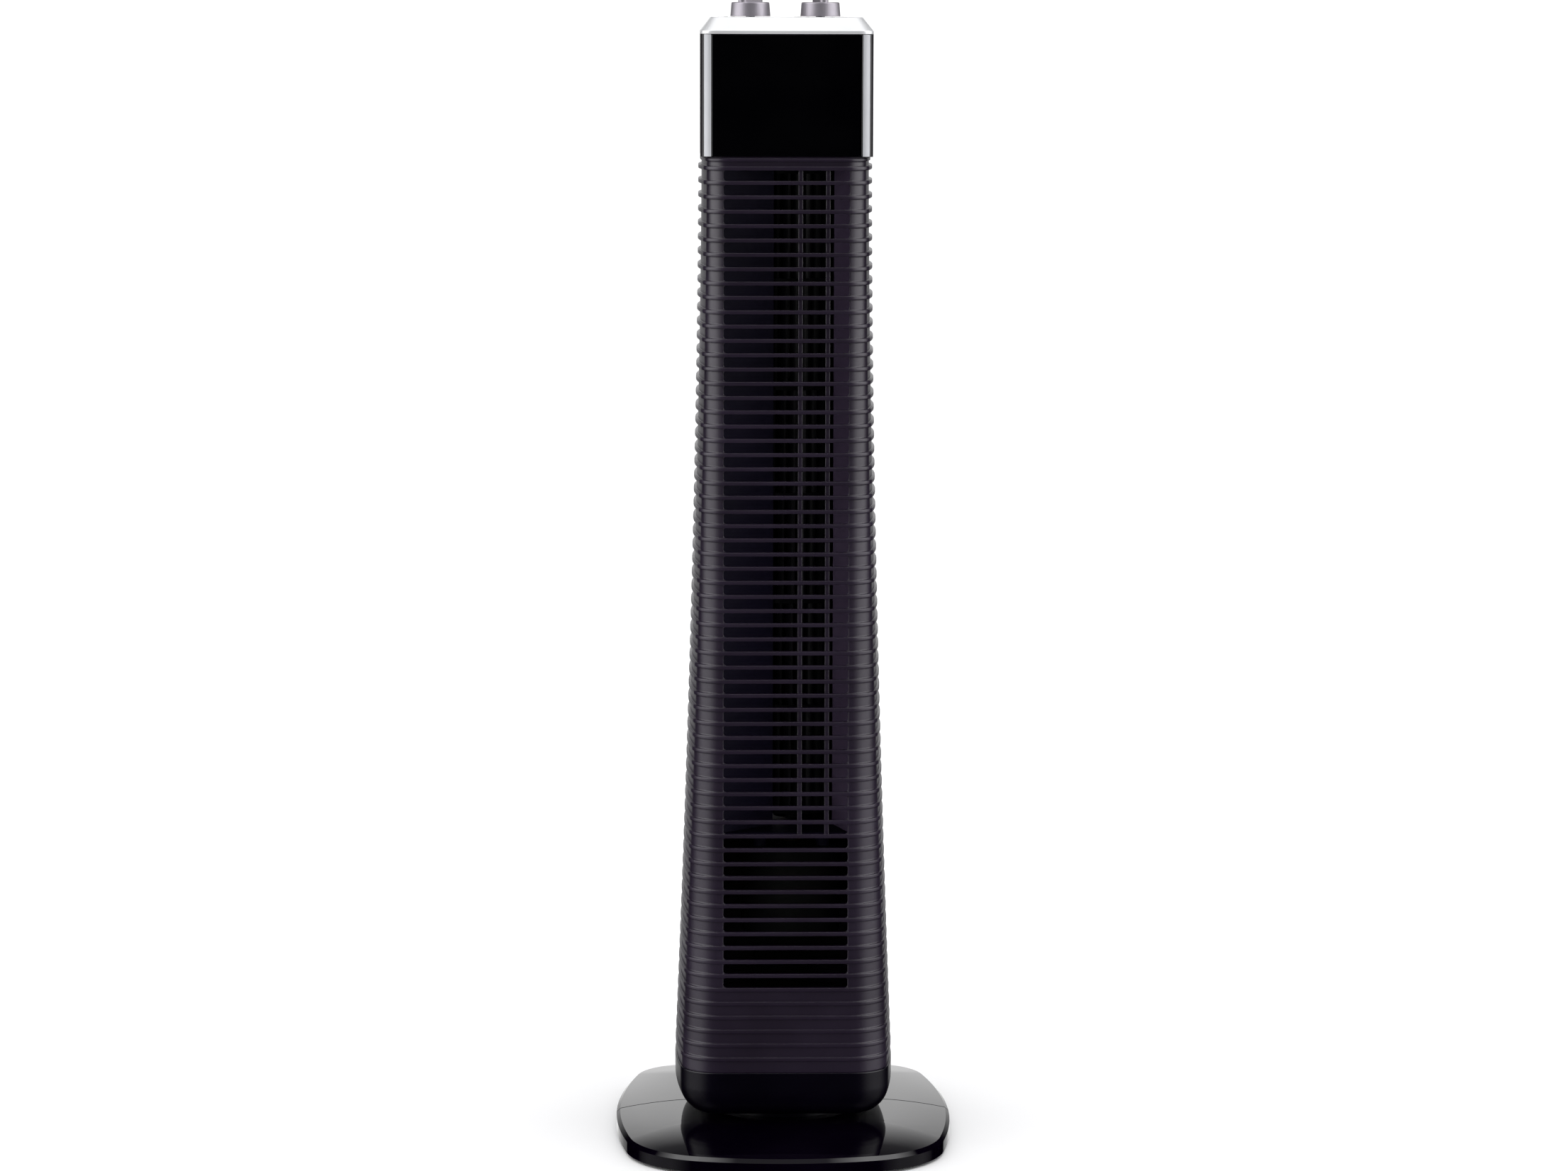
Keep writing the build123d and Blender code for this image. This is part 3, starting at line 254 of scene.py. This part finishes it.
def tower_half(z):
    """Half the width of the housing wall at height z, in millimetres."""
    share = (TOWER_TOP - z) / (TOWER_TOP - TOWER_BOTTOM)
    return HALF_AT_TOP + (HALF_AT_BOTTOM - HALF_AT_TOP) * share**FLARE


def prism(mesh, outline, front, back):
    """Adds a prism along Y between front and back over an outline of (x, z) points."""
    near = [mesh.verts.new((x * MM, front * MM, z * MM)) for x, z in outline]
    far = [mesh.verts.new((x * MM, back * MM, z * MM)) for x, z in outline]
    mesh.faces.new(near)
    mesh.faces.new(list(reversed(far)))
    for i in range(len(outline)):
        j = (i + 1) % len(outline)
        mesh.faces.new((near[i], far[i], far[j], near[j]))


def corner_fill(x, z, side_x, side_z):
    """Outline that rounds the inside corner at (x, z), whose slot lies towards (-side_x, -side_z)."""
    centre_x = x - side_x * SLOT_END_RADIUS
    centre_z = z - side_z * SLOT_END_RADIUS
    outline = [(x + side_x * BURIED, z + side_z * BURIED), (x + side_x * BURIED, centre_z)]
    for step in range(SLOT_END_STEPS + 1):
        angle = math.radians(90 * step / SLOT_END_STEPS)
        outline.append(
            (
                centre_x + side_x * SLOT_END_RADIUS * math.cos(angle),
                centre_z + side_z * SLOT_END_RADIUS * math.sin(angle),
            )
        )
    outline.append((centre_x, z + side_z * BURIED))
    return outline


def new_piece(name, mesh, slot_name):
    bmesh.ops.recalc_face_normals(mesh, faces=mesh.faces)
    data = bpy.data.meshes.new(name)
    mesh.to_mesh(data)
    mesh.free()
    piece = bpy.data.objects.new(name, data)
    bpy.context.scene.collection.objects.link(piece)
    data.materials.append(materials[slot_name])
    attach(piece, "tower")
    return piece


def slot_corners():
    """Fillets that round both ends of every outlet slot."""
    mesh = bmesh.new()
    first_rib = TOWER_TOP - TOP_BAND - RIB_THICKNESS / 2
    for i in range(SLOT_COUNT):
        rib = first_rib - i * RIB_PITCH
        face = -tower_half(rib - RIB_PITCH / 2)
        top, bottom = rib - RIB_THICKNESS / 2, rib - RIB_PITCH + RIB_THICKNESS / 2
        for side_x in (-1, 1):
            for side_z, z in ((1, top), (-1, bottom)):
                outline = corner_fill(side_x * SLOT_HALF_WIDTH, z, side_x, side_z)
                prism(mesh, outline, face + SHY, face + WALL - SHY)
    new_piece("slot_corners", mesh, "housing_plastic")


# ---------------------------------------------------------------- dial marks
PLATE_TOP, MARK_HEIGHT = 765.0, 0.12
KNOB_X, MARK_INNER, MARK_OUTER, MARK_HALF = 23.6, 15.2, 17.8, 0.35
SPEED_ANGLES = range(0, 136, 45)
TIMER_ANGLES = range(-30, 271, 30)


def dial_marks(name, x, angles):
    """Plain ticks round a knob; an angle of 0 points to the front and grows clockwise from above."""
    mesh = bmesh.new()
    for degrees in angles:
        turn = math.radians(degrees)
        out, across = (-math.sin(turn), -math.cos(turn)), (math.cos(turn), -math.sin(turn))
        corners = [
            (x + out[0] * r + across[0] * w, out[1] * r + across[1] * w)
            for r, w in (
                (MARK_INNER, -MARK_HALF), (MARK_OUTER, -MARK_HALF),
                (MARK_OUTER, MARK_HALF), (MARK_INNER, MARK_HALF),
            )
        ]
        low = [mesh.verts.new((px * MM, py * MM, (PLATE_TOP - SHY) * MM)) for px, py in corners]
        high = [mesh.verts.new((px * MM, py * MM, (PLATE_TOP + MARK_HEIGHT) * MM)) for px, py in corners]
        mesh.faces.new(list(reversed(low)))
        mesh.faces.new(high)
        for i in range(4):
            j = (i + 1) % 4
            mesh.faces.new((low[i], low[j], high[j], high[i]))
    new_piece(name, mesh, "cap_plastic")


slot_corners()
dial_marks("speed_marks", -KNOB_X, SPEED_ANGLES)
dial_marks("timer_marks", KNOB_X, TIMER_ANGLES)


# ---------------------------------------------------------------- floor, light and camera
FLOOR_SIZE = 60
SOFT_STRENGTH, GLOSS_STRENGTH = 1.12, 4.0
TOP_LIGHT_PLACE, TOP_LIGHT_TARGET, TOP_LIGHT_SIZE, TOP_LIGHT_POWER = (0, -0.5, 2.2), (0, 0, 0.3), 1.2, 6
# What gloss mirrors, as (place, brightness): cards by angle from the front (1 is straight behind), each
# multiplied by its levels, where 0 is straight down, 0.5 the horizon and 1 straight up.
SIDE_CARDS = (0.0, 0.0), (0.20, 0.004), (0.34, 1.0), (0.54, 0.9), (0.66, 0.0)
SIDE_LEVELS = (0.45, 0.12), (0.49, 1.7), (0.53, 0.7), (0.62, 1.3)
REAR_CARDS = (0.86, 0.0), (0.97, 0.38)
REAR_LEVELS = (0.49, 0.7), (0.53, 1.0), (0.585, 0.9), (0.66, 0.12), (0.75, 0.0)
CEILING = (0.80, 0.0), (0.90, 0.14)
CAMERA_DISTANCE, CAMERA_TILT, CAMERA_TURN, CAMERA_ROLL = 3.0, 7.57, -1.3, 0.14
CAMERA_TARGET, SENSOR_WIDTH, FOCAL_LENGTH = (0, 0, 0.3787), 36.0, 100.53


def floor():
    """A pale floor that mirrors leave out, so that they show the studio around it."""
    bpy.ops.mesh.primitive_plane_add(size=FLOOR_SIZE)
    plane = bpy.context.object
    plane.name = "floor"
    m = Nodes("floor")
    m.set(Base_Color=srgb(250, 250, 251), Roughness=0.8)
    plane.data.materials.append(m.material)
    plane.visible_glossy = False


def top_light():
    """A square soft light above the front that mirrors leave out."""
    data = bpy.data.lights.new("top_soft", "AREA")
    data.shape = "RECTANGLE"
    data.size = TOP_LIGHT_SIZE
    data.size_y = TOP_LIGHT_SIZE
    data.energy = TOP_LIGHT_POWER
    light = bpy.data.objects.new("top_soft", data)
    bpy.context.scene.collection.objects.link(light)
    light.location = TOP_LIGHT_PLACE
    light.rotation_mode = "QUATERNION"
    light.rotation_quaternion = (Vector(TOP_LIGHT_TARGET) - Vector(TOP_LIGHT_PLACE)).to_track_quat("-Z", "Y")
    light.visible_glossy = False


def math_node(tree, operation, *inputs):
    """Adds a Math node whose inputs are numbers or sockets."""
    node = tree.nodes.new("ShaderNodeMath")
    node.operation = operation
    for socket, value in zip(node.inputs, inputs):
        if isinstance(value, (int, float)):
            socket.default_value = value
        else:
            tree.links.new(value, socket)
    return node.outputs[0]


def grey_ramp(tree, factor, *stops):
    """Adds a ramp from (place, brightness) stops."""
    ramp = tree.nodes.new("ShaderNodeValToRGB")
    elements = ramp.color_ramp.elements
    while len(elements) < len(stops):
        elements.new(0.5)
    for element, (place, value) in zip(elements, stops):
        element.position = place
        element.color = (value, value, value, 1)
    tree.links.new(factor, ramp.inputs["Fac"])
    return ramp.outputs["Color"]


def studio():
    """White all round for the eye and for soft light, with dark cards in front that only gloss mirrors."""
    world = bpy.data.worlds.new("studio")
    bpy.context.scene.world = world
    world.use_nodes = True
    tree = world.node_tree
    soft = tree.nodes["Background"]
    soft.inputs["Color"].default_value = (1, 1, 1, 1)
    soft.inputs["Strength"].default_value = SOFT_STRENGTH
    direction = tree.nodes.new("ShaderNodeSeparateXYZ")
    tree.links.new(tree.nodes.new("ShaderNodeTexCoord").outputs["Generated"], direction.inputs[0])
    x, y, z = direction.outputs
    turned = math_node(tree, "ARCTAN2", x, math_node(tree, "MULTIPLY", y, -1.0))
    around = math_node(tree, "DIVIDE", math_node(tree, "ABSOLUTE", turned), math.pi)
    upwards = math_node(tree, "DIVIDE", math_node(tree, "ARCSINE", z), math.pi / 2)
    level = math_node(tree, "ADD", math_node(tree, "MULTIPLY", upwards, 0.5), 0.5)
    sides = math_node(
        tree, "MULTIPLY", grey_ramp(tree, around, *SIDE_CARDS), grey_ramp(tree, level, *SIDE_LEVELS)
    )
    rear = math_node(
        tree, "MULTIPLY", grey_ramp(tree, around, *REAR_CARDS), grey_ramp(tree, level, *REAR_LEVELS)
    )
    walls = math_node(tree, "ADD", sides, rear)
    mirrored = math_node(tree, "ADD", walls, grey_ramp(tree, level, *CEILING))
    gloss = tree.nodes.new("ShaderNodeBackground")
    gloss.inputs["Strength"].default_value = GLOSS_STRENGTH
    tree.links.new(mirrored, gloss.inputs["Color"])
    mix = tree.nodes.new("ShaderNodeMixShader")
    tree.links.new(tree.nodes.new("ShaderNodeLightPath").outputs["Is Glossy Ray"], mix.inputs[0])
    tree.links.new(soft.outputs[0], mix.inputs[1])
    tree.links.new(gloss.outputs[0], mix.inputs[2])
    tree.links.new(mix.outputs[0], tree.nodes["World Output"].inputs["Surface"])


def camera():
    """The camera at the photograph's viewing angle."""
    tilt, turn = math.radians(CAMERA_TILT), math.radians(CAMERA_TURN)
    back = Vector(
        (math.sin(turn) * math.cos(tilt), -math.cos(turn) * math.cos(tilt), math.sin(tilt))
    )
    data = bpy.data.cameras.new("camera")
    data.sensor_width = SENSOR_WIDTH
    data.lens = FOCAL_LENGTH
    view = bpy.data.objects.new("camera", data)
    bpy.context.scene.collection.objects.link(view)
    view.location = Vector(CAMERA_TARGET) + back * CAMERA_DISTANCE
    view.rotation_mode = "QUATERNION"
    view.rotation_quaternion = (
        (-back).to_track_quat("-Z", "Y").to_matrix() @ Matrix.Rotation(math.radians(CAMERA_ROLL), 3, "Z")
    ).to_quaternion()
    bpy.context.scene.camera = view


floor()
studio()
top_light()
camera()
bpy.context.scene.view_settings.view_transform = "Standard"
